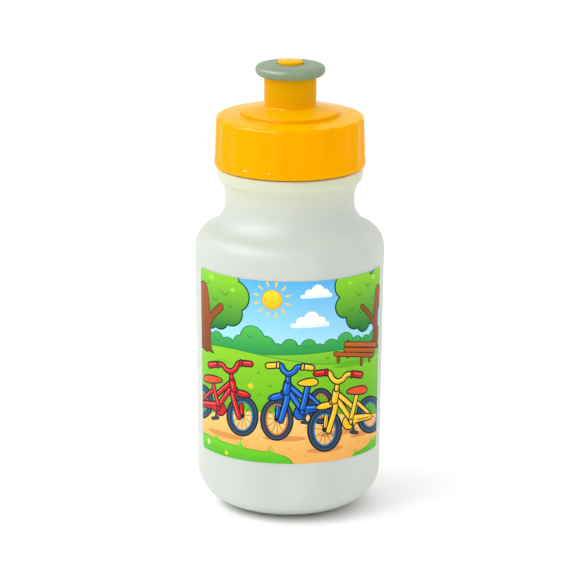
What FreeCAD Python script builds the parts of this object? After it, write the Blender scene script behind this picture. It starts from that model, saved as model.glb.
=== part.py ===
import FreeCAD, Part
import math
import os

import Sketcher

# A small squeeze bottle for a child: a blow-moulded body with a finger waist, a printed film
# label, a fluted screw lid with a fixed chimney and centre pin, a sealing ring under the lid,
# and a push-pull mouthpiece that slides in the chimney. Millimetres, +Z up, origin in the
# middle of the flat ring that the bottle stands on. The label faces -Y.

# Driving dimensions. Heights are above the floor unless the name says otherwise.
DIMENSIONS = {
    # bottle
    "wall": 1.2,
    "foot_radius": 31.32,
    "foot_slope": 35,
    "foot_bevel": 10.8,
    "foot_share": 0.48,
    "standing_ring": 1.6,
    "dimple_depth": 1.6,
    "dimple_slope": 2.2,
    "shoulder_radius": 32.5,
    "shoulder_height": 96.5,
    "shoulder_turn": 65.6,
    "shoulder_share": 0.44,
    "waist_drop": 2.95,
    "waist_low_share": 0.54,
    "waist_flat": 1.69,
    "waist_high_share": 0.73,
    "bead_turn": 40,
    "bead_share": 0.22,
    "bead_proud": 2.57,
    "bead_band": 3.58,
    "neck_radius": 22.5,
    "neck_length": 14.45,
    "rim_round": 0.45,
    # screw thread, shared by neck and lid
    "thread_pitch": 5.0,
    "thread_depth": 1.15,
    "thread_root": 2.3,
    "thread_crest": 1.1,
    "thread_gap": 0.3,
    "thread_sink": 0.3,
    "thread_play": 0.35,
    "neck_thread_turns": 1.25,
    "neck_thread_start": 3.4,
    "lid_thread_turns": 1.0,
    # label
    "film": 0.15,
    "label_margin_low": 22.8,
    "label_margin_high": 9.7,
    "label_sweep": 140.0,
    "label_turn": 1.8,
    "label_corner": 1.2,
    # lid
    "lid_gap": 0.45,
    "lid_wall": 1.93,
    "band_proud": 0.17,
    "band_tall": 1.6,
    "band_slope": 0.35,
    "band_round": 0.4,
    "skirt_tall": 17.0,
    "skirt_draft": 0.52,
    "lid_edge_round": 1.45,
    "deck_thick": 1.8,
    "deck_rise": 0.5,
    "step_share": 0.674,
    "step_tall": 1.5,
    "step_round": 0.5,
    "dome_rise": 1.4,
    "flutes": 20,
    "flute_depth": 0.16,
    "flute_margin": 0.5,
    "plug_gap": 1.3,
    "plug_wall": 1.5,
    "plug_tall": 2.6,
    # chimney, spider and pin
    "chimney_radius": 8.93,
    "chimney_wall": 0.95,
    "chimney_tall": 10.5,
    "chimney_foot_round": 1.2,
    "lip_tall": 1.5,
    "lip_proud": 0.35,
    "spokes": 3,
    "spoke_width": 2.2,
    "spoke_tall": 1.6,
    "pin_shaft_radius": 3.0,
    "pin_head_radius": 4.4,
    "pin_head_tall": 3.6,
    "pin_flare": 1.6,
    "pin_proud": 0.95,
    "pin_round": 0.9,
    # sealing ring
    "seal_thick": 1.2,
    "seal_play": 0.1,
    "seal_edge_gap": 0.4,
    "seal_round": 0.25,
    # mouthpiece
    "flange_radius": 11.92,
    "flange_edge": 3.75,
    "flange_crown": 0.75,
    "flange_round_top": 1.65,
    "flange_round_low": 1.95,
    "mouth_rest_gap": 0.1,
    "mouth_play": 0.15,
    "mouth_wall": 1.4,
    "mouth_roof": 2.4,
    "pin_play": 0.1,
    "snap_tall": 1.6,
    "snap_slope": 0.4,
    "mouth_travel": 5.0,
}

# Places that several pieces share, each worked out from the driving dimensions.
PLACES = {
    "foot_side": "dims.foot_bevel / cos(dims.foot_slope)",
    "foot_tall": "dims.foot_bevel * tan(dims.foot_slope)",
    "foot_flat": "dims.foot_radius - dims.foot_bevel",
    "dimple": "{foot_flat} - dims.foot_share * {foot_side} - dims.standing_ring",
    "bead": "dims.neck_radius + dims.bead_proud",
    "waist": "{bead} - dims.waist_drop",
    "shoulder_drop": "dims.shoulder_radius - {waist}",
    "shoulder_side": "{shoulder_drop} / sin(dims.shoulder_turn)",
    "bead_side": "dims.waist_drop / sin(dims.bead_turn)",
    "waist_low": "dims.shoulder_height + {shoulder_drop} / tan(dims.shoulder_turn)",
    "waist_arcs": "dims.waist_low_share * {shoulder_side} + dims.waist_high_share * {bead_side}",
    "waist_high": "{waist_low} + {waist_arcs} + dims.waist_flat",
    "bead_low": "{waist_high} + {bead_side} * cos(dims.bead_turn)",
    "bead_high": "{bead_low} + dims.bead_band",
    "rim": "{bead_high} + dims.neck_length",
    "seat": "{rim} + dims.seal_thick",
    "neck_bore": "dims.neck_radius - dims.wall",
    "thread_major": "dims.neck_radius + dims.thread_depth",
    "thread_start": "{bead_high} + dims.neck_thread_start + dims.thread_root / 2",
    "skirt_bore": "{thread_major} + dims.thread_gap",
    "lid_low": "{bead_high} + dims.lid_gap",
    "band_high": "{lid_low} + dims.band_tall",
    "edge_high": "{lid_low} + dims.skirt_tall",
    "skirt_low_radius": "{skirt_bore} + dims.lid_wall",
    "skirt_high_radius": "{skirt_low_radius} - dims.skirt_draft",
    "step": "{skirt_high_radius} * dims.step_share",
    "step_low": "{edge_high} + dims.deck_rise",
    "step_high": "{step_low} + dims.step_tall",
    "chimney_low": "{step_high} + dims.dome_rise",
    "chimney_high": "{chimney_low} + dims.chimney_tall",
    "bore": "dims.chimney_radius - dims.chimney_wall",
    "lip": "{bore} - dims.lip_proud",
    "lip_low": "{chimney_high} - dims.lip_tall",
    "plug_out": "{neck_bore} - dims.plug_gap",
    "plug_in": "{plug_out} - dims.plug_wall",
    "plug_low": "{seat} - dims.plug_tall",
    "spoke_low": "{chimney_low} - dims.deck_thick",
    "flange_low": "{chimney_high} + dims.mouth_rest_gap",
    "flange_high": "{flange_low} + dims.flange_edge",
    "mouth_high": "{flange_high} + dims.flange_crown",
    "stem": "{lip} - dims.mouth_play",
    "stem_bore": "{stem} - dims.mouth_wall",
    "hole": "dims.pin_head_radius + dims.pin_play",
    "snap": "{bore} - dims.mouth_play",
    "snap_high": "{lip_low} - dims.lip_proud - dims.mouth_play - dims.mouth_travel",
    "snap_low": "{snap_high} - dims.snap_tall",
    "pin_high": "{mouth_high} + dims.pin_proud",
    "pin_neck": "{pin_high} - dims.pin_head_tall",
}


def place(text):
    """An expression with each {name} written out, so that it holds only cells of the sheet."""
    while "{" in text:
        name = text[text.index("{") + 1 : text.index("}")]
        text = text.replace("{" + name + "}", "(" + PLACES[name] + ")")
    return text


def make_sheet(doc):
    """The spreadsheet of driving dimensions, one cell and one alias each."""
    sheet = doc.addObject("Spreadsheet::Sheet", "dims")
    for row, (alias, value) in enumerate(DIMENSIONS.items(), start=1):
        sheet.set("A%d" % row, alias)
        sheet.set("B%d" % row, str(value))
        sheet.setAlias("B%d" % row, alias)
    doc.recompute()
    return sheet


def value_of(owner, text):
    """The number that an expression gives now."""
    found = owner.evalExpression(place(text))
    return float(getattr(found, "Value", found))


def new_body(doc, label):
    """An empty body with the sub-part's own label."""
    body = doc.addObject("PartDesign::Body", label)
    body.Label = label
    return body


def plane_of(body, role):
    """One of the body's own origin planes or axes."""
    return next(f for f in body.Origin.OriginFeatures if f.Role == role)


def new_sketch(body, name, role="XZ_Plane", lift=None):
    """An empty sketch on one of the body's origin planes, lifted off it if lift is given."""
    sketch = body.newObject("Sketcher::SketchObject", name)
    sketch.AttachmentSupport = [(plane_of(body, role), "")]
    sketch.MapMode = "FlatFace"
    if lift:
        sketch.setExpression(".AttachmentOffset.Base.z", place(lift))
    body.Document.recompute()
    return sketch


def draw_outline(sketch, corners):
    """A closed outline of straight lines. Each corner is a pair of expressions, held by constraints."""
    spots = [(value_of(sketch, a), value_of(sketch, b)) for a, b in corners]
    count = len(spots)
    for i, (across, up) in enumerate(spots):
        end = spots[(i + 1) % count]
        line = Part.LineSegment(FreeCAD.Vector(across, up, 0), FreeCAD.Vector(end[0], end[1], 0))
        sketch.addGeometry(line, False)
    for i in range(count):
        sketch.addConstraint(Sketcher.Constraint("Coincident", i, 2, (i + 1) % count, 1))
    for i, (across, up) in enumerate(corners):
        for kind, text, here in (("DistanceX", across, spots[i][0]), ("DistanceY", up, spots[i][1])):
            if text == "0":
                axis = -2 if kind == "DistanceX" else -1
                sketch.addConstraint(Sketcher.Constraint("PointOnObject", i, 1, axis))
                continue
            number = sketch.addConstraint(Sketcher.Constraint(kind, -1, 1, i, 1, here))
            sketch.setExpression("Constraints[%d]" % number, place(text))
    sketch.Document.recompute()
    return sketch


def revolve(body, name, corners, kind="PartDesign::Revolution", sweep=None, midplane=False):
    """Turns an outline in the XZ plane about the Z axis: a Revolution adds, a Groove cuts."""
    sketch = draw_outline(new_sketch(body, name + "_sketch"), corners)
    turned = body.newObject(kind, name)
    turned.Profile = sketch
    turned.ReferenceAxis = (sketch, ["V_Axis"])
    turned.Midplane = midplane
    turned.Angle = 360
    if sweep:
        turned.setExpression("Angle", place(sweep))
    sketch.Visibility = False
    body.Document.recompute()
    return turned


def rings_at(feature, spots):
    """The names of the feature's circular edges at (radius, height), each a pair of expressions."""
    wanted = [(value_of(feature, r), value_of(feature, z)) for r, z in spots]
    names = []
    for number, edge in enumerate(feature.Shape.Edges, start=1):
        curve = edge.Curve
        if not isinstance(curve, Part.Circle) or abs(curve.Axis.z) < 0.99:
            continue
        if any(abs(curve.Radius - r) < 0.02 and abs(curve.Center.z - z) < 0.02 for r, z in wanted):
            names.append("Edge%d" % number)
    return names


def round_rings(body, name, base, spots, size):
    """Rounds the base feature's circular edges at these places."""
    names = rings_at(base, spots)
    if not names:
        raise RuntimeError("%s finds no edge" % name)
    rounded = body.newObject("PartDesign::Fillet", name)
    rounded.Base = (base, names)
    rounded.setExpression("Radius", place(size))
    body.Document.recompute()
    return rounded


def wind(body, name, corners, turns):
    """Adds a thread: an outline in the XZ plane, wound up about the Z axis."""
    sketch = draw_outline(new_sketch(body, name + "_sketch"), corners)
    helix = body.newObject("PartDesign::AdditiveHelix", name)
    helix.Profile = sketch
    helix.ReferenceAxis = (sketch, ["V_Axis"])
    helix.Mode = "pitch-turns-angle"
    helix.setExpression("Pitch", "dims.thread_pitch")
    helix.setExpression("Turns", turns)
    helix.Angle = 0
    helix.Reversed = False
    helix.LeftHanded = False
    sketch.Visibility = False
    body.Document.recompute()
    return helix


def repeat(body, name, feature, count):
    """Repeats a feature round the Z axis."""
    pattern = body.newObject("PartDesign::PolarPattern", name)
    pattern.Originals = [feature]
    pattern.Axis = (plane_of(body, "Z_Axis"), [""])
    pattern.Angle = 360
    pattern.setExpression("Occurrences", count)
    body.Tip = pattern
    body.Document.recompute()
    return pattern


def arc(share, side, turn):
    """The radius of a round that takes a share of a slanted side and turns by an angle."""
    return "%s * %s / tan((%s) / 2)" % (share, side, turn)


def side_radius_at(height):
    """The radius of the bottle's tapered side at a height, as an expression."""
    slope = "(dims.shoulder_radius - dims.foot_radius) / (dims.shoulder_height - {foot_tall})"
    return "dims.foot_radius + %s * (%s - {foot_tall})" % (slope, height)


def thread_corners(root, crest, middle):
    """The section of a thread ridge between two radii, about a middle height."""
    wide = "dims.thread_root / 2"
    narrow = "dims.thread_crest / 2"
    return [
        (root, "%s - %s" % (middle, wide)),
        (crest, "%s - %s" % (middle, narrow)),
        (crest, "%s + %s" % (middle, narrow)),
        (root, "%s + %s" % (middle, wide)),
    ]


def make_bottle(doc):
    """The squeeze bottle: one blown shell, open at the neck, with its thread."""
    body = new_body(doc, "bottle")
    solid = revolve(
        body,
        "bottle_solid",
        [
            ("0", "dims.dimple_depth"),
            ("{dimple} - dims.dimple_slope", "dims.dimple_depth"),
            ("{dimple}", "0"),
            ("{foot_flat}", "0"),
            ("dims.foot_radius", "{foot_tall}"),
            ("dims.shoulder_radius", "dims.shoulder_height"),
            ("{waist}", "{waist_low}"),
            ("{waist}", "{waist_high}"),
            ("{bead}", "{bead_low}"),
            ("{bead}", "{bead_high}"),
            ("dims.neck_radius", "{bead_high}"),
            ("dims.neck_radius", "{rim}"),
            ("0", "{rim}"),
        ],
    )
    tip = solid
    foot = ("dims.foot_share", "{foot_side}")
    slope = "dims.foot_slope"
    fall = ("{shoulder_side}", "dims.shoulder_turn")
    rise = ("{bead_side}", "dims.bead_turn")
    for name, radius, height, size in (
        ("foot_low", "{foot_flat}", "0", arc(*foot, slope)),
        ("foot_high", "dims.foot_radius", "{foot_tall}", arc(*foot, "90 - " + slope)),
        ("shoulder", "dims.shoulder_radius", "dims.shoulder_height", arc("dims.shoulder_share", *fall)),
        ("waist_low", "{waist}", "{waist_low}", arc("dims.waist_low_share", *fall)),
        ("waist_high", "{waist}", "{waist_high}", arc("dims.waist_high_share", *rise)),
        ("bead", "{bead}", "{bead_low}", arc("dims.bead_share", *rise)),
    ):
        tip = round_rings(body, name + "_round", tip, [(radius, height)], size)
    mouth = max(tip.Shape.Faces, key=lambda face: face.CenterOfMass.z + face.BoundBox.ZMin)
    number = next(i for i, face in enumerate(tip.Shape.Faces, start=1) if face.isSame(mouth))
    shell = body.newObject("PartDesign::Thickness", "bottle_shell")
    shell.Base = (tip, ["Face%d" % number])
    shell.setExpression("Value", "dims.wall")
    shell.Reversed = True
    shell.Mode = "Skin"
    shell.Join = "Intersection"
    doc.recompute()
    top = [("{bead}", "{bead_high}")]
    ledge = round_rings(body, "bead_top_round", shell, top, "dims.wall / 2")
    lips = [("dims.neck_radius", "{rim}"), ("{neck_bore}", "{rim}")]
    round_rings(body, "rim_round", ledge, lips, "dims.rim_round")
    wind(
        body,
        "neck_thread",
        thread_corners(
            "dims.neck_radius - dims.thread_sink",
            "{thread_major}",
            "{thread_start}",
        ),
        "dims.neck_thread_turns",
    )
    return body


def make_label(doc):
    """The printed film on the front of the bottle: a strip that follows its tapered side."""
    body = new_body(doc, "label")
    low = "dims.label_margin_low"
    high = "(dims.shoulder_height - dims.label_margin_high)"
    strip = revolve(
        body,
        "label_strip",
        [
            (side_radius_at(low), low),
            (side_radius_at(low) + " + dims.film", low),
            (side_radius_at(high) + " + dims.film", high),
            (side_radius_at(high), high),
        ],
        sweep="dims.label_sweep",
        midplane=True,
    )
    thickness = value_of(body, "dims.film")
    names = [
        "Edge%d" % i
        for i, edge in enumerate(strip.Shape.Edges, start=1)
        if edge.Length < thickness * 1.5
    ]
    corners = body.newObject("PartDesign::Fillet", "label_corners")
    corners.Base = (strip, names)
    corners.setExpression("Radius", "dims.label_corner")
    body.setExpression(".Placement.Rotation.Angle", "dims.label_turn - 90")
    body.Placement.Rotation.Axis = FreeCAD.Vector(0, 0, 1)
    doc.recompute()
    return body


def make_lid(doc):
    """The screw lid: fluted skirt, stepped deck, chimney, and the pin on its three spokes."""
    body = new_body(doc, "screw_lid")
    shell = revolve(
        body,
        "lid_section",
        [
            ("{skirt_bore}", "{lid_low}"),
            ("{skirt_low_radius} + dims.band_proud", "{lid_low}"),
            ("{skirt_low_radius} + dims.band_proud", "{band_high}"),
            ("{skirt_low_radius}", "{band_high} + dims.band_slope"),
            ("{skirt_high_radius}", "{edge_high}"),
            ("{step}", "{step_low}"),
            ("{step}", "{step_high}"),
            ("dims.chimney_radius", "{chimney_low}"),
            ("dims.chimney_radius", "{chimney_high}"),
            ("{lip}", "{chimney_high}"),
            ("{lip}", "{lip_low}"),
            ("{bore}", "{lip_low} - dims.lip_proud"),
            ("{bore}", "{chimney_low} - dims.deck_thick"),
            ("{step} - dims.deck_thick", "{step_high} - dims.deck_thick"),
            ("{plug_in}", "{step_low} - dims.deck_thick"),
            ("{plug_in}", "{plug_low}"),
            ("{plug_out}", "{plug_low}"),
            ("{plug_out}", "{seat}"),
            ("{skirt_bore}", "{seat}"),
        ],
    )
    tip = shell
    edge = [("{skirt_high_radius}", "{edge_high}")]
    tip = round_rings(body, "lid_edge", tip, edge, "dims.lid_edge_round")
    foot = [("{skirt_low_radius} + dims.band_proud", "{lid_low}")]
    tip = round_rings(body, "band_foot", tip, foot, "dims.band_round")
    step = [("{step}", "{step_high}"), ("{step}", "{step_low}")]
    tip = round_rings(body, "step_corners", tip, step, "dims.step_round")
    foot = [("dims.chimney_radius", "{chimney_low}")]
    tip = round_rings(body, "chimney_foot", tip, foot, "dims.chimney_foot_round")
    low = "{band_high} + dims.band_slope + dims.flute_margin"
    high = "{edge_high} - dims.lid_edge_round"
    draft = "dims.skirt_draft / (dims.skirt_tall - dims.band_tall - dims.band_slope)"
    radius = "{skirt_low_radius} - %s * (dims.flute_margin + dims.flute_depth)" % draft
    outside = "{skirt_low_radius} + dims.band_proud"
    flute = revolve(
        body,
        "flute",
        [
            (radius + " - dims.flute_depth", low + " + dims.flute_depth"),
            (outside, low + " - dims.flute_depth"),
            (outside, high + " + dims.flute_depth"),
            ("{skirt_high_radius} - dims.flute_depth", high + " - dims.flute_depth"),
        ],
        kind="PartDesign::Groove",
        sweep="180 / dims.flutes",
        midplane=True,
    )
    repeat(body, "flute_pattern", flute, "dims.flutes")
    wind(
        body,
        "lid_thread",
        thread_corners(
            "{skirt_bore} + dims.thread_sink",
            "dims.neck_radius + dims.thread_gap",
            "{thread_start} - (dims.thread_root + dims.thread_crest) / 2 - dims.thread_play",
        ),
        "dims.lid_thread_turns",
    )
    spoke = new_sketch(body, "spoke_sketch", "XY_Plane", "{spoke_low}")
    half = "dims.spoke_width / 2"
    reach = "{bore} + dims.chimney_wall / 2"
    draw_outline(spoke, [("0", "-" + half), (reach, "-" + half), (reach, half), ("0", half)])
    pad = body.newObject("PartDesign::Pad", "spoke")
    pad.Profile = spoke
    pad.setExpression("Length", "dims.spoke_tall")
    body.Tip = pad
    spoke.Visibility = False
    doc.recompute()
    repeat(body, "spoke_pattern", pad, "dims.spokes")
    pin = revolve(
        body,
        "pin",
        [
            ("0", "{spoke_low}"),
            ("dims.pin_shaft_radius", "{spoke_low}"),
            ("dims.pin_shaft_radius", "{pin_neck} - dims.pin_flare"),
            ("dims.pin_head_radius", "{pin_neck}"),
            ("dims.pin_head_radius", "{pin_high}"),
            ("0", "{pin_high}"),
        ],
    )
    round_rings(body, "pin_top", pin, [("dims.pin_head_radius", "{pin_high}")], "dims.pin_round")
    return body


def make_seal(doc):
    """The flat sealing ring that the lid presses on the bottle's rim."""
    body = new_body(doc, "sealing_ring")
    inner = "{plug_out} + dims.seal_play"
    outer = "{skirt_bore} - dims.seal_edge_gap"
    ring = revolve(
        body,
        "ring",
        [(inner, "{rim}"), (outer, "{rim}"), (outer, "{seat}"), (inner, "{seat}")],
    )
    spots = [(radius, height) for radius in (inner, outer) for height in ("{rim}", "{seat}")]
    round_rings(body, "ring_corners", ring, spots, "dims.seal_round")
    return body


def make_mouthpiece(doc):
    """The push-pull mouthpiece: a soft flange on a stem that snaps into the chimney."""
    body = new_body(doc, "mouthpiece")
    turned = revolve(
        body,
        "mouthpiece_section",
        [
            ("{hole}", "{mouth_high}"),
            ("dims.flange_radius", "{flange_high}"),
            ("dims.flange_radius", "{flange_low}"),
            ("{stem}", "{flange_low}"),
            ("{stem}", "{snap_high} + dims.snap_slope"),
            ("{snap}", "{snap_high}"),
            ("{snap}", "{snap_low} + dims.snap_slope"),
            ("{stem}", "{snap_low}"),
            ("{stem_bore}", "{snap_low}"),
            ("{stem_bore}", "{mouth_high} - dims.mouth_roof - dims.mouth_wall"),
            ("{hole}", "{mouth_high} - dims.mouth_roof"),
        ],
    )
    top = [("dims.flange_radius", "{flange_high}")]
    tip = round_rings(body, "flange_top", turned, top, "dims.flange_round_top")
    low = [("dims.flange_radius", "{flange_low}")]
    tip = round_rings(body, "flange_low", tip, low, "dims.flange_round_low")
    hole = [("{hole}", "{mouth_high}")]
    round_rings(body, "hole_edge", tip, hole, "dims.pin_play * 4")
    return body


def check(doc, bodies):
    """Stops the build if anything in the document failed or a sub-part isn't one good solid."""
    for thing in doc.Objects:
        if "Invalid" in thing.State or "Error" in thing.State:
            raise RuntimeError("%s failed: %s" % (thing.Label, thing.State))
    for body in bodies:
        shape = body.Shape
        if shape.isNull() or not shape.isValid():
            raise RuntimeError("%s has no valid shape" % body.Label)
        print("%-14s solids %d, volume %.1f mm3" % (body.Label, len(shape.Solids), shape.Volume))
        if len(shape.Solids) != 1:
            raise RuntimeError("%s isn't one solid" % body.Label)


def main():
    doc = FreeCAD.newDocument("kids_bottle")
    make_sheet(doc)
    makers = (make_bottle, make_label, make_lid, make_seal, make_mouthpiece)
    bodies = [make(doc) for make in makers]
    doc.recompute()
    check(doc, bodies)
    os.makedirs("parts", exist_ok=True)
    for body in bodies:
        body.Shape.exportStep(os.path.join("parts", body.Label + ".step"))


main()
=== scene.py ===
"""Looks for a child's squeeze bottle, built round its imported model."""

import logging
import math
from dataclasses import dataclass, field
from enum import Enum
from typing import Callable, Iterable, Optional, Sequence, Union

import bmesh
import bpy
from mathutils import Euler, Matrix, Vector
from mathutils.geometry import delaunay_2d_cdt


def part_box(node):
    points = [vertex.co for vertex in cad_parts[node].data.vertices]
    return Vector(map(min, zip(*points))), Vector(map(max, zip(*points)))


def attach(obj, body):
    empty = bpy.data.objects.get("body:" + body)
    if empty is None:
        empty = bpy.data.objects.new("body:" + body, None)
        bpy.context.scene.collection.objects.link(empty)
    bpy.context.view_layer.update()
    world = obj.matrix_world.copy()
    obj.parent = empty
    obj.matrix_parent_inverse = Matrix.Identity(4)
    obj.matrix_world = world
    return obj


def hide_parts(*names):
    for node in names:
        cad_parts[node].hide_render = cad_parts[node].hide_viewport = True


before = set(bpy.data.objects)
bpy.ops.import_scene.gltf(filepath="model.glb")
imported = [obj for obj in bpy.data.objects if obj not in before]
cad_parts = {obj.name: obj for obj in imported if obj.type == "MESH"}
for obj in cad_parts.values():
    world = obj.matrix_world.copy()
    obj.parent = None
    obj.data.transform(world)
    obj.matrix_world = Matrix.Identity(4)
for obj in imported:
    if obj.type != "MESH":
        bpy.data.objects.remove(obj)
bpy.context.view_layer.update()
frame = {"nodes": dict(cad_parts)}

LOG = logging.getLogger("bottle")
MM = 0.001
Color = tuple[float, float, float]
Point = tuple[float, float]


def linear(red: int, green: int, blue: int) -> Color:
    """Turns a screen colour into the linear one that shaders use.

    Args:
        red: Red, 0 to 255.
        green: Green, 0 to 255.
        blue: Blue, 0 to 255.

    Returns:
        The linear colour, 0 to 1.
    """

    def channel(byte: int) -> float:
        """One channel of the colour."""
        share = byte / 255
        return share / 12.92 if share <= 0.04045 else ((share + 0.055) / 1.055) ** 2.4

    return channel(red), channel(green), channel(blue)


class Signal:
    """A shader socket that takes part in Python arithmetic."""

    def __init__(self, graph: "Graph", socket: bpy.types.NodeSocket) -> None:
        """Wraps one output socket of a graph's node."""
        self.graph = graph
        self.socket = socket

    def _math(self, operation: str, first: "Input", second: "Input") -> "Signal":
        """Adds one Math node.

        Args:
            operation: The node's operation.
            first: Its first input.
            second: Its second input.

        Returns:
            The node's result.
        """
        return self.graph.node("ShaderNodeMath", {"operation": operation}, {0: first, 1: second})

    def __add__(self, other: "Input") -> "Signal":
        """self + other."""
        return self._math("ADD", self, other)

    def __radd__(self, other: "Input") -> "Signal":
        """other + self."""
        return self._math("ADD", other, self)

    def __sub__(self, other: "Input") -> "Signal":
        """self - other."""
        return self._math("SUBTRACT", self, other)

    def __rsub__(self, other: "Input") -> "Signal":
        """other - self."""
        return self._math("SUBTRACT", other, self)

    def __mul__(self, other: "Input") -> "Signal":
        """self * other."""
        return self._math("MULTIPLY", self, other)

    def __rmul__(self, other: "Input") -> "Signal":
        """other * self."""
        return self._math("MULTIPLY", other, self)

    def __truediv__(self, other: "Input") -> "Signal":
        """self / other."""
        return self._math("DIVIDE", self, other)

    def between(self, low: float, high: float) -> "Signal":
        """A smooth 0 to 1 as this value goes from low to high.

        Args:
            low: Where the result starts to rise.
            high: Where it reaches 1.

        Returns:
            The smooth step.
        """
        settings = {"interpolation_type": "SMOOTHSTEP"}
        return self.graph.node("ShaderNodeMapRange", settings, {0: self, 1: low, 2: high})


Input = Union[float, Color, Signal]


class Graph:
    """A material and the one way in which nodes are added to it."""

    def __init__(self, name: str) -> None:
        """Makes an empty material of this name."""
        self.material = bpy.data.materials.new(name)
        self.material.use_nodes = True
        self.tree = self.material.node_tree
        self.tree.nodes.clear()

    def node(
        self,
        kind: str,
        settings: Optional[dict] = None,
        inputs: Optional[dict] = None,
        output: Union[int, str] = 0,
    ) -> Signal:
        """Adds a node.

        Args:
            kind: The node's type.
            settings: Its properties, set first. "stops" holds a ramp's (place, colour) pairs.
            inputs: Values or signals by socket name or number.
            output: The output that is returned.

        Returns:
            The chosen output.
        """
        node = self.tree.nodes.new(kind)
        for key, value in (settings or {}).items():
            if key == "stops":
                self._set_stops(node.color_ramp, value)
            else:
                setattr(node, key, value)
        for key, value in (inputs or {}).items():
            self._feed(node.inputs[key], value)
        return Signal(self, node.outputs[output])

    def _feed(self, socket: bpy.types.NodeSocket, value: Input) -> None:
        """Links a signal to a socket, or sets the socket to a number or colour."""
        if isinstance(value, Signal):
            self.tree.links.new(value.socket, socket)
        elif socket.type == "RGBA":
            socket.default_value = (*value, 1.0)
        else:
            socket.default_value = value

    @staticmethod
    def _set_stops(ramp: bpy.types.ColorRamp, stops: Sequence[tuple[float, Color]]) -> None:
        """Gives a ramp its stops, in order."""
        while len(ramp.elements) < len(stops):
            ramp.elements.new(0.5)
        for element, (place, color) in zip(ramp.elements, stops):
            element.position = place
            element.color = (*color, 1.0)

    def place(self) -> Signal:
        """Object coordinates, which are the part's own metres."""
        return self.node("ShaderNodeTexCoord", output="Object")

    def axis(self, name: str) -> Signal:
        """One of the Object coordinates, X, Y or Z, in metres."""
        return self.node("ShaderNodeSeparateXYZ", inputs={0: self.place()}, output=name)

    def facing_up(self) -> Signal:
        """How far the surface faces up, from -1 to 1."""
        normal = self.node("ShaderNodeNewGeometry", output="Normal")
        return self.node("ShaderNodeSeparateXYZ", inputs={0: normal}, output="Z")

    def grain(self, scale: float, detail: float = 2.0, stretch: Color = (1, 1, 1)) -> Signal:
        """Noise over Object coordinates.

        Args:
            scale: Waves per metre.
            detail: Octaves of finer noise.
            stretch: How much quicker the noise runs along each axis.

        Returns:
            Noise about 0.5.
        """
        spot = self.node("ShaderNodeMapping", {}, {0: self.place(), 3: stretch})
        inputs = {"Vector": spot, "Scale": scale, "Detail": detail}
        return self.node("ShaderNodeTexNoise", {}, inputs)

    def mix(self, factor: Input, first: Input, second: Input) -> Signal:
        """Mixes two colours by a factor from 0 to 1."""
        return self.node(
            "ShaderNodeMix", {"data_type": "RGBA"}, {0: factor, 6: first, 7: second}, 2
        )

    def bump(self, height: Signal, depth: float, strength: float = 1.0) -> Signal:
        """A normal from a height of 0 to 1 over a depth in metres."""
        inputs = {"Strength": strength, "Distance": depth, "Height": height}
        return self.node("ShaderNodeBump", {}, inputs)

    def finish(self, **inputs: Input) -> bpy.types.Material:
        """Closes the graph with a Principled shader.

        Args:
            inputs: The shader's sockets, with _ for a space.

        Returns:
            The finished material.
        """
        sockets = {name.replace("_", " "): value for name, value in inputs.items()}
        shader = self.node("ShaderNodeBsdfPrincipled", {}, sockets)
        self.node_output(shader)
        return self.material

    def node_output(self, shader: Signal) -> None:
        """Links a shader to the material's output."""
        out = self.tree.nodes.new("ShaderNodeOutputMaterial")
        self.tree.links.new(shader.socket, out.inputs["Surface"])


def dress(piece: bpy.types.Object, material: bpy.types.Material) -> None:
    """Puts one material on a piece, in every slot that it has."""
    if not piece.material_slots:
        piece.data.materials.append(material)
    for slot in piece.material_slots:
        slot.material = material


@dataclass(frozen=True)
class MilkyPlastic:
    """Natural blown polyethylene: cloudy, faintly green-grey, satin, with a painted yellow glow of
    the lid's light on its neck.
    """

    body: Color = linear(196, 201, 193)
    thick: Color = linear(203, 208, 200)
    # Painted glow: this yellow stands in for the lid's light on the neck, mixed in by height from
    # glow_low up to glow_high.
    painted_lid_glow: Color = linear(209, 212, 182)
    glow_low: float = 0.103
    glow_high: float = 0.1195
    roughness: float = 0.5

    def material(self) -> bpy.types.Material:
        """Builds the bottle's material."""
        graph = Graph("milky_polyethylene")
        height = graph.axis("Z")
        cloud = graph.grain(55.0, 3.0, (1, 1, 0.35))
        color = graph.mix(cloud.between(0.3, 0.8), self.body, self.thick)
        # Painted glow: the neck turns yellow towards the lid, standing in for the lid's yellow
        # light that passes into it.
        color = graph.mix(height.between(self.glow_low, self.glow_high) * 0.9, color, self.painted_lid_glow)
        flow = graph.grain(160.0, 2.0, (1, 1, 0.12))
        skin = graph.grain(2600.0, 2.0)
        normal = graph.bump(flow * 0.8 + skin * 0.2, 0.00012, 0.5)
        return graph.finish(
            Base_Color=color,
            Roughness=self.roughness + (skin - 0.5) * 0.15,
            IOR=1.5,
            Specular_IOR_Level=0.05,
            Subsurface_Weight=0.35,
            Subsurface_Radius=(1.0, 1.0, 0.8),
            Subsurface_Scale=0.004,
            Normal=normal,
        )


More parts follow.
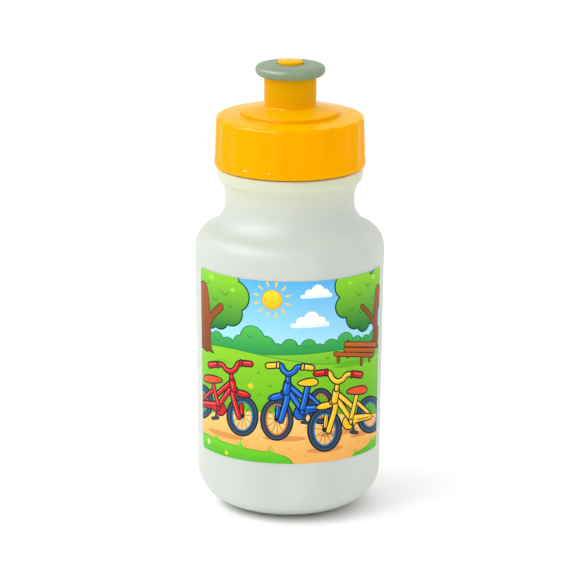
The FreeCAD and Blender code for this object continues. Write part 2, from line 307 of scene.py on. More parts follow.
@dataclass(frozen=True)
class YellowMoulding:
    """Semi-gloss moulded polypropylene in an orange-tinged yellow, with painted shade on the
    chimney and a painted highlight on faces that face up.
    """

    color: Color = (0.90, 0.39, 0.0)
    deep: Color = (0.86, 0.365, 0.0)
    # Painted highlight: faces that face up take this lighter, yellower colour, as where the
    # overhead light falls on the deck.
    deck: Color = (0.90, 0.455, 0.0)
    # Painted shade: the chimney takes this darker colour from a little above the deck up, standing
    # in for the shadow under the mouthpiece's flange.
    column: Color = (0.72, 0.36, 0.0)
    painted_shade_low: float = 0.1405
    roughness: float = 0.2

    def material(self) -> bpy.types.Material:
        """Builds the lid's material."""
        graph = Graph("yellow_polypropylene")
        flow = graph.grain(70.0, 2.0, (1, 1, 0.5))
        skin = graph.grain(3200.0, 2.0)
        swirl = graph.grain(240.0, 3.0)
        wall = graph.mix(flow.between(0.3, 0.75), self.color, self.deep)
        # Painted shade: the chimney darkens by height, for the flange's shadow.
        high = graph.axis("Z").between(self.painted_shade_low, self.painted_shade_low + 0.003)
        wall = graph.mix(high, wall, self.column)
        # Painted highlight: the colour turns to the lighter deck colour as the surface faces up.
        deck = graph.facing_up().between(0.5, 0.95)
        return graph.finish(
            Base_Color=graph.mix(deck, wall, self.deck),
            Roughness=self.roughness + (swirl - 0.5) * 0.1,
            IOR=1.49,
            Specular_IOR_Level=0.025,
            Specular_Tint=(1.0, 0.85, 0.4),
            Subsurface_Weight=0.25,
            Subsurface_Radius=(1.0, 0.6, 0.1),
            Subsurface_Scale=0.0015,
            Normal=graph.bump(skin * 0.1 + flow * 0.9, 0.00004, 0.25),
        )


@dataclass(frozen=True)
class GreySoftPlastic:
    """Satin sage-grey plastic of the mouthpiece."""

    color: Color = linear(135, 152, 127)
    shade: Color = linear(127, 144, 118)
    roughness: float = 0.5

    def material(self) -> bpy.types.Material:
        """Builds the mouthpiece's material."""
        graph = Graph("sage_grey_plastic")
        flow = graph.grain(180.0, 2.0)
        skin = graph.grain(4200.0, 2.0)
        return graph.finish(
            Base_Color=graph.mix(flow.between(0.3, 0.75), self.color, self.shade),
            Roughness=self.roughness + (skin - 0.5) * 0.2,
            IOR=1.47,
            Specular_IOR_Level=0.12,
            Subsurface_Weight=0.2,
            Subsurface_Radius=(1.0, 1.0, 0.8),
            Subsurface_Scale=0.001,
            Normal=graph.bump(skin, 0.00003, 0.5),
        )


@dataclass(frozen=True)
class SealFoam:
    """Closed-cell white foam of the sealing ring."""

    color: Color = linear(238, 236, 228)
    pore: Color = linear(206, 203, 194)

    def material(self) -> bpy.types.Material:
        """Builds the sealing ring's material."""
        graph = Graph("white_seal_foam")
        cells = graph.node(
            "ShaderNodeTexVoronoi", {}, {"Vector": graph.place(), "Scale": 2600.0}, "Distance"
        )
        return graph.finish(
            Base_Color=graph.mix(cells.between(0.2, 0.7), self.pore, self.color),
            Roughness=0.7 + cells * 0.15,
            Normal=graph.bump(cells, 0.0001, 0.6),
        )


@dataclass(frozen=True)
class PrintedFilm:
    """Satin printed film. Its inks are in the piece's own colour attribute."""

    attribute: str = "ink"
    roughness: float = 0.36

    def material(self) -> bpy.types.Material:
        """Builds the label's material."""
        graph = Graph("printed_film")
        ink = graph.node("ShaderNodeAttribute", {"attribute_name": self.attribute}, output="Color")
        screen = graph.grain(3800.0, 1.0)
        mottle = graph.grain(320.0, 3.0)
        worn = graph.mix(mottle.between(0.45, 0.9) * 0.004, ink, (1.0, 1.0, 1.0))
        color = graph.mix(screen.between(0.4, 0.9) * 0.16 + 0.05, worn, (0.0, 0.0, 0.0))
        return graph.finish(
            Base_Color=color,
            Roughness=self.roughness + (mottle - 0.5) * 0.12,
            IOR=1.48,
            Specular_IOR_Level=0.08,
            Normal=graph.bump(screen, 0.00001, 0.3),
        )


@dataclass(frozen=True)
class FloorPaint:
    """Matt white studio floor."""

    color: Color = (0.93, 0.93, 0.93)

    def material(self) -> bpy.types.Material:
        """Builds the floor's material."""
        graph = Graph("studio_floor")
        speck = graph.grain(9.0, 2.0)
        shade = graph.mix(speck.between(0.3, 0.8) * 0.02, self.color, (0.9, 0.9, 0.9))
        return graph.finish(Base_Color=shade, Roughness=0.9)


@dataclass(frozen=True)
class Fade:
    """An ink that goes from one colour to another up the label."""

    low: Color
    high: Color
    low_v: float = 0.0
    high_v: float = 1.0

    def at(self, height: float) -> Color:
        """The colour at a height in label millimetres."""
        share = (height - self.low_v) / (self.high_v - self.low_v)
        share = min(1.0, max(0.0, share))
        return tuple(a + (b - a) * share for a, b in zip(self.low, self.high))


def flat(red: int, green: int, blue: int) -> Fade:
    """An ink of one screen colour."""
    color = linear(red, green, blue)
    return Fade(color, color)


def smooth(points: Sequence[Point], closed: bool = False, steps: int = 5) -> list[Point]:
    """Rounds a path into a Catmull-Rom curve through its points.

    Args:
        points: The path's points.
        closed: Whether the last point joins the first.
        steps: Pieces between two points.

    Returns:
        The curve's points.
    """
    count = len(points)
    spans = count if closed else count - 1

    def pick(index: int) -> Point:
        """A point, wrapped round or held at the ends."""
        return points[index % count] if closed else points[min(max(index, 0), count - 1)]

    curve = []
    for span in range(spans):
        before, start, end, after = (pick(span + k) for k in (-1, 0, 1, 2))
        for step in range(steps):
            t = step / steps
            curve.append(
                tuple(
                    0.5
                    * (
                        2 * b
                        + (c - a) * t
                        + (2 * a - 5 * b + 4 * c - d) * t * t
                        + (3 * b - a - 3 * c + d) * t**3
                    )
                    for a, b, c, d in zip(before, start, end, after)
                )
            )
    if not closed:
        curve.append(points[-1])
    return curve


def oval(center: Point, wide: float, tall: float, count: int = 40) -> list[Point]:
    """An oval outline.

    Args:
        center: Its middle.
        wide: Half its width.
        tall: Half its height.
        count: Corners.

    Returns:
        The outline, anticlockwise.
    """
    turns = (2 * math.pi * k / count for k in range(count))
    return [(center[0] + wide * math.cos(a), center[1] + tall * math.sin(a)) for a in turns]


def capsule(start: Point, end: Point, radius: float) -> list[Point]:
    """A straight bar with round ends, anticlockwise."""
    heading = math.atan2(end[1] - start[1], end[0] - start[0])
    count = 5 if radius < 0.5 else 8
    outline = []
    for spot, first in ((end, -0.5), (start, 0.5)):
        for k in range(count + 1):
            angle = heading + math.pi * (first + k / count)
            outline.append((spot[0] + radius * math.cos(angle), spot[1] + radius * math.sin(angle)))
    return outline


def wrap(across: float, up: float, roll: float = 32.15, look_down: float = 0.264) -> Point:
    """Moves a point of a flat drawing onto the round label, so that it looks level from the front.

    Args:
        across: Millimetres to the right of the middle, in the flat drawing.
        up: Millimetres up, in the flat drawing.
        roll: The label's radius.
        look_down: The tangent of the angle at which the drawing is seen from above.

    Returns:
        The point in label millimetres.
    """
    share = max(-0.97, min(0.97, across / roll))
    turn = math.asin(share) + 3.0 * (across / roll - share)
    return roll * turn, up - look_down * roll * (1.0 - math.cos(turn))


class Picture:
    """A drawing in label millimetres, in which later shapes cover earlier ones."""

    def __init__(self) -> None:
        """Starts with nothing drawn."""
        self.shapes: list[tuple[list[Point], Fade]] = []

    def fill(self, outline: Sequence[Point], ink: Fade) -> None:
        """Fills an outline, which may run either way round, with ink."""
        ends = list(outline[1:]) + [outline[0]]
        area = sum(a[0] * b[1] - b[0] * a[1] for a, b in zip(outline, ends))
        self.shapes.append((list(outline) if area > 0 else list(reversed(outline)), ink))

    def stroke(self, path: Sequence[Point], width: float, ink: Fade) -> None:
        """Draws a line with round ends and joints."""
        for start, end in zip(path, path[1:]):
            self.fill(capsule(start, end, width / 2), ink)

    def bar(self, path: Sequence[Point], width: float, ink: Fade, line: Fade, edge: float) -> None:
        """Draws a tube or plank with a line round it.

        Args:
            path: Its middle line.
            width: Its width inside the line.
            ink: Its own ink.
            line: The ink of the line round it.
            edge: The line's width.
        """
        self.stroke(path, width + 2 * edge, line)
        self.stroke(path, width, ink)

    def panel(self, outline: Sequence[Point], ink: Fade, line: Fade, edge: float) -> None:
        """Fills an outline and draws a line round it."""
        closed = list(outline) + [outline[0]]
        self.stroke(closed, 2 * edge, line)
        self.fill(outline, ink)

    def cluster(
        self, lobes: Iterable[tuple[float, float, float]], ink: Fade, line: Fade, edge: float
    ) -> None:
        """Draws round lobes as one mass with one line round it.

        Args:
            lobes: Each lobe's middle and radius.
            ink: The mass's ink.
            line: The line's ink.
            edge: The line's width.
        """
        lobes = list(lobes)
        for grow, tone in ((edge, line), (0.0, ink)):
            for across, up, radius in lobes:
                self.fill(oval((across, up), radius + grow, radius + grow, 36), tone)


class Facing(Enum):
    """Which way a bicycle in the picture faces."""

    LEFT = 1
    RIGHT = -1


@dataclass(frozen=True)
class BicycleInks:
    """The inks of one bicycle."""

    frame: Fade
    light: Fade
    grips: Fade
    shine: Fade
    saddle: Fade
    rim: Fade


@dataclass(frozen=True)
class Bicycle:
    """A child's bicycle in the flat drawing, seen from its front corner."""

    wheel: Point
    size: float
    facing: Facing
    inks: BicycleInks
    line: Fade = flat(18, 30, 48)
    rubber: Fade = flat(44, 62, 84)
    sheen: Fade = flat(74, 96, 122)
    steel: Fade = flat(52, 64, 84)
    edge: float = 0.48
    bold: float = 1.18

    def at(self, *points: Point) -> list[Point]:
        """Moves points from the bicycle's own millimetres to the label's."""
        turn = self.facing.value * self.size
        return [wrap(self.wheel[0] + turn * u, self.wheel[1] + self.size * v) for u, v in points]

    def tube(self, picture: Picture, width: float, *points: Point) -> None:
        """Draws one frame tube with its highlight."""
        width *= self.bold
        path = self.at(*points)
        picture.bar(path, width * self.size, self.inks.frame, self.line, self.edge)
        shift = 0.2 * width * self.size
        lit = [(u - shift, v + shift) for u, v in path]
        picture.stroke(lit, 0.16 * width * self.size, self.inks.light)

    def tyre(self, picture: Picture, center: Point, wide: float, tall: float) -> None:
        """Draws a wheel: tyre, rim, and spokes over whatever is behind it."""
        middle = self.at(center)[0]
        size = self.size

        def ring(inset: float) -> list[Point]:
            """The wheel's oval, this far in, with its first point again at the end."""
            outline = oval(center, wide - inset, tall - inset)
            return self.at(*outline, outline[0])

        def band(outer: float, inner: float, ink: Fade) -> None:
            """An oval ring, drawn as two halves so that what is inside it stays."""
            for half in (slice(0, 21), slice(20, 41)):
                picture.fill(ring(outer)[half] + ring(inner)[half][::-1], ink)

        band(-self.edge, 1.75, self.line)
        band(0.0, 1.42, self.rubber)
        band(0.3, 0.5, self.sheen)
        band(1.55, 1.9, self.inks.rim)
        band(1.9, 2.02, self.line)
        for spoke in range(11):
            angle = 2 * math.pi * (spoke + 0.35) / 11
            rim = (
                center[0] + (wide - 1.9) * math.cos(angle),
                center[1] + (tall - 1.9) * math.sin(angle),
            )
            picture.stroke([middle, *self.at(rim)], 0.18, self.line)
        picture.fill(oval(middle, 0.62 * size, 0.75 * size, 16), self.line)

    def draw(self, picture: Picture) -> None:
        """Draws the whole bicycle, from the back to the front."""
        line, edge, size = self.line, self.edge, self.size
        self.tyre(picture, (15.0, 4.8), 4.2, 6.0)
        self.tube(picture, 0.85, (10.6, 9.0), (15.0, 4.8))
        guard = smooth(
            self.at(
                (6.0, 2.6), (7.2, 4.6), (9.6, 4.9), (14.9, 5.0), (15.5, 4.2), (14.8, 3.4),
                (10.6, 2.4), (9.2, 0.6), (7.4, 0.2), (6.2, 1.2),
            ),
            closed=True,
        )
        picture.panel(guard, self.inks.frame, line, edge)
        picture.stroke(self.at((7.4, 4.0), (9.4, 4.3), (14.2, 4.5)), 0.25 * size, self.inks.light)
        picture.stroke(smooth(self.at((10.9, 3.2), (13.4, 3.7), (14.4, 4.0))), 0.3, line)
        self.tube(picture, 1.25, (4.3, 9.6), (8.6, 3.4))
        self.tube(picture, 1.15, (4.3, 11.9), (9.5, 7.2))
        self.tube(picture, 1.25, (10.5, 12.0), (9.4, 6.8), (8.5, 3.2))
        picture.bar(self.at((8.9, 2.5), (9.6, -0.4)), 0.7 * size, self.steel, line, 0.2)
        picture.bar(self.at((8.7, -0.9), (10.9, -1.2)), 0.85 * size, self.steel, line, 0.22)
        picture.fill(oval(self.at((8.6, 2.6))[0], 1.05 * size, 1.15 * size, 20), line)
        picture.fill(oval(self.at((8.6, 2.6))[0], 0.62 * size, 0.7 * size, 20), self.inks.frame)
        saddle = smooth(
            self.at(
                (7.2, 12.7), (8.0, 13.5), (10.0, 14.2), (12.4, 14.5), (13.6, 13.8),
                (13.7, 12.9), (12.6, 12.2), (10.4, 12.0), (8.4, 12.2),
            ),
            closed=True,
        )
        picture.panel(saddle, self.inks.saddle, line, edge)
        self.tube(picture, 0.95, (0.5, 4.6), (0.1, 0.2))
        self.tyre(picture, (0.0, 0.0), 5.3, 7.1)
        fender = smooth(
            self.at(
                (-2.7, 7.3), (-1.6, 8.5), (0.6, 9.2), (3.0, 9.3), (3.5, 8.3), (1.8, 7.7),
                (-0.6, 7.0),
            ),
            closed=True,
        )
        picture.panel(fender, self.inks.frame, line, edge)
        picture.stroke(
            smooth(self.at((-1.5, 8.0), (0.4, 8.7), (2.2, 8.8))), 0.24 * size, self.inks.light
        )
        self.tube(
            picture, 1.35, *smooth(((2.3, 9.5), (3.3, 8.6), (3.2, 6.4), (1.3, -0.3)), steps=4)
        )
        self.tube(picture, 1.75, (3.1, 9.9), (3.6, 12.9))
        self.tube(picture, 1.05, (3.75, 13.6), (3.95, 15.8))
        bend = (
            (0.6, 19.3), (1.5, 18.9), (2.3, 17.3), (3.9, 16.2), (5.7, 16.9), (6.8, 18.4),
            (8.3, 18.7),
        )
        self.tube(picture, 1.15, *smooth(bend, steps=4))
        for grip, collar in (
            (((-2.9, 19.0), (-0.5, 19.2)), ((0.4, 18.6), (0.4, 20.0))),
            (((9.4, 18.7), (11.7, 18.3)), ((8.6, 17.9), (8.8, 19.3))),
        ):
            picture.bar(self.at(*grip), 1.65 * size, self.inks.grips, line, edge)
            lit = self.at(*((u, v + 0.35) for u, v in grip))
            picture.stroke(lit, 0.3 * size, self.inks.shine)
            picture.bar(self.at(*collar), 0.6 * size, self.inks.grips, line, edge)


@dataclass
class ParkPicture:
    """The label's own park scene: sky, sun, clouds, trees, bench, path and three bicycles."""

    wide: tuple[float, float] = (-45.0, 45.0)
    tall: float = 64.0
    bark: Fade = Fade(linear(128, 60, 20), linear(160, 82, 34), 34, 56)
    bark_line: Fade = flat(66, 32, 16)
    leaf: Fade = Fade(linear(24, 122, 52), linear(140, 212, 48), 45, 63)
    leaf_line: Fade = flat(10, 62, 36)
    leaf_mark: Fade = flat(38, 132, 44)
    picture: Picture = field(default_factory=Picture)

    def draw(self) -> Picture:
        """Draws every part, from the back to the front.

        Returns:
            The finished picture.
        """
        self.sky()
        self.bushes()
        self.lawn()
        self.trees()
        self.bench()
        self.path()
        self.flowers()
        self.bicycles()
        return self.picture

    def under(self, edge: Sequence[Point], ink: Fade, low: float = -2.0) -> None:
        """Fills everything under an edge that crosses the label."""
        self.picture.fill([(edge[0][0], low), (edge[-1][0], low)] + list(reversed(edge)), ink)

    def sky(self) -> None:
        """Draws the sky, the sun and two clouds."""
        left, right = self.wide
        sky = Fade(linear(172, 230, 250), linear(88, 184, 240), 41, 64)
        self.under([(left, self.tall + 2), (right, self.tall + 2)], sky)
        sun = (-5.8, 57.7)
        for ray in range(12):
            angle = 2 * math.pi * (ray + 0.5) / 12
            near, far = (
                (sun[0] + reach * math.cos(angle), sun[1] + reach * math.sin(angle))
                for reach in (4.9, 6.3)
            )
            self.picture.stroke([near, far], 0.62, flat(250, 206, 70))
        for radius, ink in (
            (3.5, flat(232, 140, 24)),
            (3.2, Fade(linear(255, 196, 16), linear(255, 226, 60), 55, 61)),
        ):
            self.picture.fill(oval(sun, radius, radius, 48), ink)
        cloud = Fade(linear(222, 240, 250), linear(255, 255, 255), 0, 1)
        for across, up, size in ((9.3, 58.1, 1.0), (7.2, 47.9, 1.2)):
            ink = Fade(cloud.low, cloud.high, up, up + 1.6 * size)
            base = ((across - 4.9 * size, up + 0.7 * size), (across + 4.9 * size, up + 0.7 * size))
            self.picture.stroke(base, 1.4 * size, ink)
            for lobe, rise, radius in ((-2.6, 1.7, 1.5), (0.3, 2.5, 2.2), (3.0, 1.6, 1.45)):
                spot = (across + lobe * size, up + rise * size)
                self.picture.fill(oval(spot, radius * size, radius * size), ink)

    def bushes(self) -> None:
        """Draws the row of bushes at the horizon."""
        ink = Fade(linear(36, 150, 78), linear(86, 194, 84), 38, 47)
        line = flat(26, 112, 62)
        lobes = [
            (-37.0, 41.0, 3.4), (-31.6, 40.0, 2.6), (-27.6, 40.4, 3.2), (-22.4, 39.6, 2.9),
            (-18.0, 39.2, 2.6),
            (-12.9, 43.6, 4.3), (-17.3, 41.4, 2.7), (-8.0, 41.6, 3.1), (-4.0, 40.0, 2.3),
            (0.2, 41.3, 2.6),
            (3.6, 39.7, 2.0), (6.6, 41.2, 2.5), (10.2, 39.8, 2.1), (14.6, 40.4, 2.7),
            (20.2, 41.4, 3.3),
            (25.4, 40.0, 2.6), (30.0, 39.6, 2.4), (34.6, 39.8, 2.8), (39.8, 39.8, 3.0),
        ]
        self.picture.cluster(lobes, ink, line, 0.28)
        self.under([(self.wide[0], 40.2), (self.wide[1], 40.2)], ink)
        for across, up in ((-13.5, 44.6), (-27.5, 41.2), (6.0, 41.6), (20.5, 42.2)):
            arc = smooth([(across - 1.2, up), (across, up - 0.8), (across + 1.1, up + 0.1)])
            self.picture.stroke(arc, 0.22, line)

    def lawn(self) -> None:
        """Draws the two lawns with their tufts of grass."""
        far_edge = smooth([(-10, 38.2), (2, 38.6), (14, 39.0), (28, 38.8), (45, 38.2)])
        near_edge = smooth(
            [
                (-45, 35.8), (-32, 38.0), (-22, 38.9), (-12, 38.3), (-2, 36.9), (8, 35.2),
                (18, 34.2), (30, 33.8), (45, 33.6),
            ]
        )
        far = Fade(linear(106, 188, 40), linear(134, 206, 56), 33, 39)
        near = Fade(linear(96, 182, 24), linear(142, 208, 42), 16, 38)
        line = flat(52, 146, 52)
        self.under(far_edge, far)
        self.picture.stroke(far_edge, 0.3, line)
        self.under(near_edge, near)
        self.picture.stroke(near_edge, 0.26, line)
        shade = flat(116, 194, 32)
        for across, up, long in ((-24, 33.5, 7), (2, 31.5, 6), (24, 29.8, 8), (-6, 24.0, 5)):
            self.picture.stroke(
                smooth([(across - long / 2, up), (across, up + 0.5), (across + long / 2, up)]), 0.8,
                shade,
            )
        mark = flat(84, 168, 38)
        for across, up in (
            (-10.6, 31.4), (-6.4, 27.0), (-10.4, 23.6), (13.4, 36.4), (1.6, 24.6), (33, 31.6),
            (-30, 27.5),
        ):
            self.tuft(across, up, 0.55, mark)

    def tuft(self, across: float, up: float, size: float, ink: Fade) -> None:
        """Draws a tuft of five blades of grass."""
        for lean, rise in ((-2.0, 1.1), (-0.9, 2.1), (0.1, 2.8), (1.1, 1.9), (2.1, 1.0)):
            root = across + 0.35 * lean * size
            tip = (across + lean * size, up + rise * size)
            self.picture.fill([(root - 0.38 * size, up), (root + 0.38 * size, up), tip], ink)

    def trees(self) -> None:
        """Draws the tree at each side."""
        left = [
            (-37, 57, 7.2), (-30, 60.5, 7.2), (-23, 62.4, 5.0), (-19.3, 57.6, 5.2),
            (-21.2, 51.6, 4.5),
            (-26.6, 49.4, 4.4), (-31.2, 47.6, 3.3), (-35.5, 51, 5.0), (-27, 55, 6.0),
        ]
        right = [
            (21.0, 61.4, 4.9), (26.5, 63, 5.5), (20.4, 54.2, 4.0), (24.8, 49.6, 4.0),
            (29.0, 47.3, 3.4),
            (34, 50.4, 4.8), (37.5, 57, 7.2), (30, 56.5, 7.0),
        ]
        for lobes in (left, right):
            self.picture.cluster(lobes, self.leaf, self.leaf_line, 0.5)
        for across, up, size in (
            (-33.5, 60.2, 1.5), (-23.8, 58.2, 1.6), (-28.6, 55.4, 1.3), (-21.6, 54.0, 1.2),
            (-34.8, 54.6, 1.2),
            (26.4, 57.6, 1.3), (31.2, 60.0, 1.5), (22.6, 52.8, 1.1), (34.5, 55.0, 1.4),
            (27.2, 51.4, 1.2),
        ):
            arc = [
                (across - size, up + 0.2 * size), (across - 0.2 * size, up - 0.7 * size),
                (across + size, up),
            ]
            self.picture.stroke(smooth(arc), 0.3, self.leaf_mark)
        for across, up, size in (
            (-30.5, 62.2, 1.4), (-20.4, 59.6, 1.0), (22.0, 62.0, 1.1), (34.5, 61.6, 1.3)
        ):
            self.picture.fill(oval((across, up), size, 0.7 * size), flat(160, 222, 66))
        wood = ((-34.7, 6.4, -1), (36.8, 3.6, 1))
        for middle, width, side in wood:
            trunk = smooth(
                [(middle, 38.4), (middle + 0.2 * side, 41), (middle, 47), (middle + 1.4 * side, 56)]
            )
            branch = smooth(
                [
                    (middle - 1.2 * side, 44.5), (middle - 4.6 * side, 48.8),
                    (middle - 9.0 * side, 52.6),
                ]
            )
            root = [
                (middle - 0.5 * width - 1.6, 35.6), (middle - 0.5 * width - 0.4, 36.4),
                (middle - 0.5 * width + 0.3, 40),
                (middle + 0.5 * width - 0.3, 40), (middle + 0.5 * width + 0.4, 36.4),
                (middle + 0.5 * width + 1.6, 35.6),
                (middle + 0.9, 36.0), (middle - 0.9, 35.7),
            ]
            self.picture.stroke(branch, 0.34 * width + 0.7, self.bark_line)
            self.picture.stroke(trunk, width + 0.7, self.bark_line)
            self.picture.panel(root, self.bark, self.bark_line, 0.35)
            self.picture.stroke(branch, 0.34 * width, self.bark)
            self.picture.stroke(trunk, width, self.bark)
            grain = flat(112, 54, 22)
            for offset, low, high in ((-0.9, 37, 40.5), (0.6, 39.5, 44.5), (-0.3, 43.4, 46.5)):
                self.picture.stroke(
                    [(middle + offset, low), (middle + offset + 0.1, high)], 0.24, grain
                )

    def bench(self) -> None:
        """Draws the bench on the lawn."""
        plank = Fade(linear(150, 72, 22), linear(196, 104, 36), 31, 40)
        line = flat(70, 34, 14)
        self.picture.fill(oval(wrap(22.5, 35.6), 9.0, 0.9), flat(104, 182, 38))
        for path, width in (
            (((19.9, 43.0), (19.9, 38.0)), 0.8),
            (((28.1, 43.0), (28.1, 38.0)), 0.9),
            (((16.7, 38.6), (16.7, 36.4)), 0.8),
            (((24.6, 38.4), (24.6, 35.2)), 0.9),
            (((27.4, 38.4), (27.4, 36.6)), 0.8),
            (((19.3, 42.3), (29.4, 42.1)), 1.45),
            (((19.1, 40.4), (29.0, 40.1)), 1.3),
            (((15.7, 38.9), (28.6, 38.4)), 1.25),
        ):
            start, end = (wrap(*point) for point in path)
            middle = wrap((path[0][0] + path[1][0]) / 2, (path[0][1] + path[1][1]) / 2)
            self.picture.bar((start, middle, end), width, plank, line, 0.32)

    def path(self) -> None:
        """Draws the sandy path, its pebbles and the grass in front of it."""
        edge = smooth(
            [
                (-45, 8.6), (-36, 11.6), (-27, 15.6), (-18, 17.3), (-8, 17.7), (3, 17.3),
                (12, 16.9), (22, 15.6), (33, 13.2), (45, 10.6),
            ]
        )
        sand = Fade(linear(244, 176, 88), linear(252, 204, 122), 2, 17)
        self.under(edge, sand)
        self.picture.stroke(edge, 0.24, flat(216, 172, 74))
        for across, up, long in (
            (-25.0, 7.6, 9.0), (-1.5, 8.9, 7.5), (18.5, 9.6, 8.0), (13.0, 4.3, 7.0), (31, 7.4, 8.0),
        ):
            self.picture.fill(oval((across, up), long, 1.0), flat(220, 148, 78))
        pebble = flat(226, 158, 84)
        for across, up in (
            (-9.8, 12.4), (-6.2, 6.0), (0.4, 5.4), (5.6, 2.6), (6.0, 12.8), (-31, 9.0), (22.5, 3.4),
            (27, 4.6),
        ):
            self.picture.fill(oval((across, up), 0.55, 0.3, 12), pebble)
        grass = Fade(linear(86, 184, 34), linear(112, 206, 44), 0, 5)
        rim = flat(52, 146, 40)
        left = smooth(
            [
                (-45, 5.4), (-34, 5.3), (-26, 5.0), (-19, 4.6), (-11, 4.1), (-4, 3.3), (0.4, 1.6),
                (2.4, -2.0),
            ]
        )
        right = smooth([(22, -2.0), (25, 0.6), (31, 1.8), (37, 3.2), (45, 4.6)])
        for mound in (left, right):
            self.under(mound, grass)
            self.picture.stroke(mound, 0.26, rim)
        for across, up, size in (
            (-28.5, 4.9, 1.05), (-17.6, 4.3, 1.1), (-6.6, 3.4, 1.0), (26.0, 0.6, 0.8),
            (35.2, 2.4, 0.9),
        ):
            self.tuft(across, up, size + 0.14, rim)
            self.tuft(across, up - 0.1, size, grass)

    def flowers(self) -> None:
        """Draws a few small flowers."""
        for across, up, size, petal in (
            (-13.4, 26.8, 0.62, flat(252, 214, 50)),
            (-33.5, 3.2, 0.6, flat(255, 244, 190)),
            (-23.6, 1.4, 0.5, flat(252, 214, 50)),
            (7.0, 27.6, 0.45, flat(255, 244, 190)),
        ):
            for k in range(5):
                angle = 2 * math.pi * (k + 0.25) / 5
                spot = (across + size * math.cos(angle), up + size * math.sin(angle))
                self.picture.fill(oval(spot, 0.62 * size, 0.62 * size, 12), petal)
            self.picture.fill(oval((across, up), 0.5 * size, 0.5 * size, 12), flat(238, 152, 28))

    def bicycles(self) -> None:
        """Draws the three bicycles."""
        blue_rim = flat(36, 134, 206)
        orange = flat(240, 84, 34)
        pink = flat(248, 116, 96)
        cream = flat(255, 236, 130)
        crimson = flat(214, 28, 26)
        red = BicycleInks(crimson, pink, crimson, pink, orange, blue_rim)
        blue = BicycleInks(
            flat(24, 98, 204), flat(
                90, 164, 244
            ), flat(252, 196, 34), cream, flat(252, 200, 36), flat(240, 134, 36)
        )
        yellow = BicycleInks(flat(250, 198, 24), cream, crimson, pink, orange, blue_rim)
        for bicycle in (
            Bicycle((-15.9, 16.8), 0.97, Facing.RIGHT, red),
            Bicycle((-4.1, 15.7), 1.0, Facing.LEFT, blue),
            Bicycle((12.3, 12.1), 1.05, Facing.LEFT, yellow),
        ):
            bicycle.draw(self.picture)


@dataclass(frozen=True)
class Sheet:
    """A flat sheet of triangles, in label millimetres."""

    points: list[Point]
    faces: list[list[int]]
    tops: list[int]
    became: dict[int, int]

    def rim(self) -> list[int]:
        """The corners round the sheet, in order."""
        edges = {edge for face in self.faces for edge in zip(face, face[1:] + face[:1])}
        ahead = {start: end for start, end in edges if (end, start) not in edges}
        loop = [min(ahead)]
        while ahead[loop[-1]] != loop[0]:
            loop.append(ahead[loop[-1]])
        return loop


